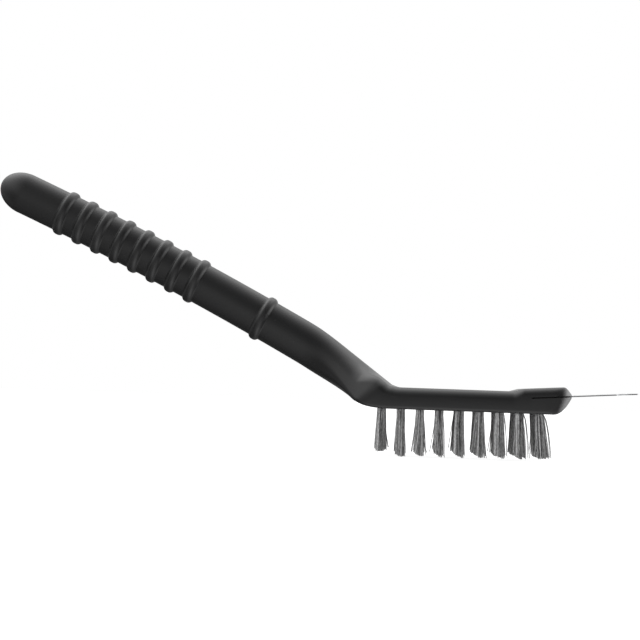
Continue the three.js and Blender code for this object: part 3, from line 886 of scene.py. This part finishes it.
def wire_legs(side, column, lean, clump_trim, random):
    """Centre lines of the legs on one side of a tuft's anchor: tip, mouth, then up beside the anchor.

    A leg leaves the mouth at a random place in its half of the hole and spreads along a power curve to
    its tip, with a half sine's bow. From the middle columns on, more and more legs on the nose's side
    are loose and bend away early. Tips are cut to a crown, uneven by wire and by clump, and to a
    slant, full from the third column on, that leaves the wires on the handle's side shorter.
    """
    count = WIRES_PER_TUFT
    radius = HOLE_DIAMETER / 2 - WIRE_DIAMETER
    reach = radius * np.sqrt(random.uniform(0, 1, count))
    turn = random.uniform(-np.pi / 2, np.pi / 2, count)
    root_x = LEG_GAP / 2 + reach * np.cos(turn) * (radius - LEG_GAP / 2) / radius
    root = np.stack([side * root_x, reach * np.sin(turn)], axis=1)
    stray = random.uniform(0, 1, (count, 1)) < STRAY_SHARE
    scatter = random.normal(0, 1, (count, 2)) * np.where(stray, STRAY_SCATTER, TIP_SCATTER)
    loosened = ease((column - LOOSE_FROM_COLUMN) / (COLUMNS - 1 - LOOSE_FROM_COLUMN))
    loose = random.uniform(0, 1, count) < LOOSE_SHARE * loosened * (side > 0)
    spread = root * (TIP_FLARE - 1) + scatter + lean
    spread[:, 0] += loose * random.uniform(LOOSE_LEAST, 1, count) * LOOSE_REACH
    bow = random.normal(0, WIRE_BOW, (count, 2))

    tip_x = (root + spread)[:, 0] / HOLE_DIAMETER
    slant = TRIM_SLANT * ease(column / FULL_SLANT_COLUMN)
    trimmed = slant * np.clip(0.5 - tip_x, 0, 1) + TRIM_CROWN * np.clip(4 * tip_x * tip_x, 0, 1)
    trimmed += np.abs(random.normal(0, TRIM_UNEVENNESS, count)) + clump_values(root[:, 0], clump_trim)

    share = np.array(LEG_RINGS)[:, None, None]
    curve = np.where(loose, LOOSE_CURVE, LEG_CURVE)[:, None]
    flat = root + spread * share ** curve + bow * np.sin(np.pi * share)
    drop = -(trim_at(column) - trimmed)[:, None] * share
    beside_x = side * np.maximum(root_x, ANCHOR_GAP / 2)
    beside_y = root[:, 1] * BESIDE_ANCHOR_SQUEEZE
    beside_anchor = np.column_stack([beside_x, beside_y, np.full(count, BESIDE_ANCHOR_HEIGHT)])
    return np.concatenate([np.concatenate([flat, drop], axis=2), beside_anchor[None]])


def folded_wires(centre, column, random):
    """Centre lines of one tuft's wires, each folded over the anchor: tip, mouth, fold, mouth, tip."""
    lean = random.normal(0, TUFT_LEAN, 2)
    lean[0] += LAST_COLUMN_SPLAY * (column == COLUMNS - 1)
    clump_trim = np.abs(random.normal(0, CLUMP_UNEVENNESS, CLUMPS_IN_TUFT))
    front_legs, rear_legs = [wire_legs(side, column, lean, clump_trim, random) for side in (1, -1)]
    fold_room = hole_depth - anchor_top - 2 * WIRE_DIAMETER
    fold_height = anchor_top + WIRE_DIAMETER + random.uniform(0, 1, WIRES_PER_TUFT) * fold_room
    fold_middle = (front_legs[-1, :, :2] + rear_legs[-1, :, :2]) / 2
    fold = np.column_stack([fold_middle, fold_height])
    lines = np.concatenate([front_legs, fold[None], rear_legs[::-1]])
    mouth = np.array([centre[0], centre[1], face_height])
    return np.moveaxis(lines, 0, 1) + mouth


def wire_shades(lines, random):
    """Shade of each ring: partly its leg's own tone, partly a painted shade of the clump that the leg's tip
    stands in, which stands for the shade between clumps.
    """
    wire_count, ring_count = lines.shape[:2]
    tips = np.stack([lines[:, 0, 0], lines[:, -1, 0]], axis=1)
    # Painted shade of each clump, which stands for the shade between clumps
    clump = clump_values(tips, random.uniform(0, 1, CLUMPS_IN_ROW))
    own = random.uniform(0, 1, (wire_count, 2))
    legs = between(own, clump, CLUMP_SHADE_SHARE)
    return np.repeat(legs, [(ring_count + 1) // 2, ring_count // 2], axis=1)


def wire_rings(lines):
    """Rings square to each centre line: the line plus radius times two normals' cosine and sine."""
    along = np.gradient(lines, axis=1)
    along /= np.linalg.norm(along, axis=2, keepdims=True)
    first = np.cross(along, (0, 1, 0))
    first /= np.linalg.norm(first, axis=2, keepdims=True)
    second = np.cross(along, first)
    angle = np.linspace(0, 2 * np.pi, WIRE_SIDES, endpoint=False)[:, None]
    turn = np.cos(angle) * first[:, :, None] + np.sin(angle) * second[:, :, None]
    return lines[:, :, None] + turn * WIRE_DIAMETER / 2


def make_tuft_row(row, material):
    """One row's tufts as folded wires, each wire with its own tone and its clump's painted shade."""
    random = np.random.default_rng(SEED + row)
    tufts = [folded_wires(tuft_centres[row, column], column, random) for column in range(COLUMNS)]
    lines = np.concatenate(tufts)
    rings = wire_rings(lines)
    wire_count, ring_count = rings.shape[:2]
    wire_points = ring_count * WIRE_SIDES
    offsets = np.arange(wire_count)[:, None, None] * wire_points
    sides = ring_faces(ring_count, WIRE_SIDES)[:, ::-1] + offsets
    first = np.arange(WIRE_SIDES)
    ends = np.stack([first, first[::-1] + wire_points - WIRE_SIDES]) + offsets
    faces = [*sides.reshape(-1, 4).tolist(), *ends.reshape(-1, WIRE_SIDES).tolist()]
    name = f"wire_tufts_row_{row + 1}"
    piece = make_piece(name, rings.reshape(-1, 3), faces, material, WIRE_SHARP_ANGLE)
    paint(piece, "wire_tone_and_clump_shade", np.repeat(wire_shades(lines, random), WIRE_SIDES, axis=1))
    finish_piece(piece, "wire", f"bristle_row_{row + 1}")


def dress_anchors():
    """Brass finish on the anchors, which keep their CAD shape."""
    brass = anchor_brass()
    for name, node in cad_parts.items():
        if name.startswith("tuft_anchor"):
            node.data.materials.clear()
            node.data.materials.append(brass)


# Studio

def make_floor():
    """White paper to the camera, on which the brush keeps its faint shadow.

    Other rays pass through to the studio's light from below, which stands for the paper's own.
    """
    finish = new_finish("pale studio floor")
    from_below = finish.node("ShaderNodeNewGeometry", output="Backfacing")
    seen = finish.node("ShaderNodeLightPath", output="Is Camera Ray") * (1 - from_below)
    paper = finish.node("ShaderNodeBsdfDiffuse", sockets={"Color": PAPER_GREY})
    glow = finish.node("ShaderNodeEmission", sockets={"Color": WHITE, "Strength": PAPER_GLOW})
    lit_paper = finish.node("ShaderNodeAddShader", sockets={0: paper, 1: glow})
    clear = finish.node("ShaderNodeBsdfTransparent")
    shader = finish.node("ShaderNodeMixShader", sockets={0: seen, 1: clear, 2: lit_paper})
    finish.node("ShaderNodeOutputMaterial", sockets={"Surface": shader})
    corners = np.array([(-1, -1, 0), (1, -1, 0), (1, 1, 0), (-1, 1, 0)]) * FLOOR_HALF
    floor = make_piece("studio_floor", corners, [[0, 1, 2, 3]], finish.owner)


def make_world():
    """White to the camera, and behind the brush to reflections; soft patches all round give the light.

    A patch's level falls off from its middle as e to the power of its fall times the cosine less one.
    """
    world = bpy.data.worlds.new("studio")
    bpy.context.scene.world = world
    finish = Finish(world)
    direction = finish.node("ShaderNodeTexCoord", output="Generated")

    def facing(middle):
        """Cosine of the angle between a ray and a direction."""
        sockets = {0: direction, 1: tuple(middle)}
        return finish.node("ShaderNodeVectorMath", {"operation": "DOT_PRODUCT"}, sockets, output="Value")

    def patch(elevation, azimuth, strength):
        """Level that one patch adds along a ray."""
        up, turn = np.radians(elevation), np.radians(azimuth)
        middle = (np.cos(up) * np.cos(turn), np.cos(up) * np.sin(turn), np.sin(up))
        falling = (facing(middle) - 1) * PATCH_FALL
        return finish.node("ShaderNodeMath", {"operation": "EXPONENT"}, {0: falling}) * strength

    level = sum(patch(*light) for light in LIGHT_PATCHES)
    path = {name: finish.node("ShaderNodeLightPath", output=name) for name in RAY_KINDS}
    behind = finish.step(facing(camera_axes()[2]), low=BACKDROP_EDGE, high=BACKDROP_FULL)
    above_floor = finish.step(facing((0, 0, 1)), low=HORIZON_FROM, high=HORIZON_TO)
    mirrored = (path["Is Glossy Ray"] + path["Is Transmission Ray"]) * behind * above_floor
    share = path["Is Camera Ray"] + mirrored
    studio = finish.node("ShaderNodeBackground", sockets={"Color": WHITE, "Strength": level})
    backdrop = finish.node("ShaderNodeBackground", sockets={"Color": WHITE, "Strength": 1})
    shader = finish.node("ShaderNodeMixShader", sockets={0: share, 1: studio, 2: backdrop})
    finish.node("ShaderNodeOutputWorld", sockets={"Surface": shader})


def camera_axes():
    """Right, up and forward of the camera, which looks along +Y but for a little yaw, pitch and roll."""
    yaw, pitch, roll = CAMERA_YAW, CAMERA_PITCH, CAMERA_ROLL
    forward = np.array([-np.sin(yaw) * np.cos(pitch), np.cos(yaw) * np.cos(pitch), np.sin(pitch)])
    level = np.array([np.cos(yaw), np.sin(yaw), 0])
    upright = np.cross(level, forward)
    right = np.cos(roll) * level + np.sin(roll) * upright
    up = np.cos(roll) * upright - np.sin(roll) * level
    return right, up, forward


def make_camera():
    """Camera at the photograph's angle, which looks along its own -Z with its own +Y up."""
    right, up, forward = camera_axes()
    matrix = np.eye(4)
    matrix[:3] = np.stack([right, up, -forward, head_origin + CAMERA_FROM_HEAD], axis=1)
    camera = bpy.data.objects.new("camera", bpy.data.cameras.new("camera"))
    camera.data.lens = CAMERA_LENS
    camera.data.sensor_width = CAMERA_SENSOR
    camera.data.clip_start = CAMERA_CLIP_START
    camera.matrix_world = Matrix(matrix.tolist())
    bpy.context.scene.collection.objects.link(camera)
    bpy.context.scene.camera = camera


make_camera()
make_world()
make_floor()
make_moulding()
make_blade()
wire = drawn_wire()
for row in range(ROWS):
    make_tuft_row(row, wire)
dress_anchors()

bpy.context.scene.view_settings.view_transform = "Standard"
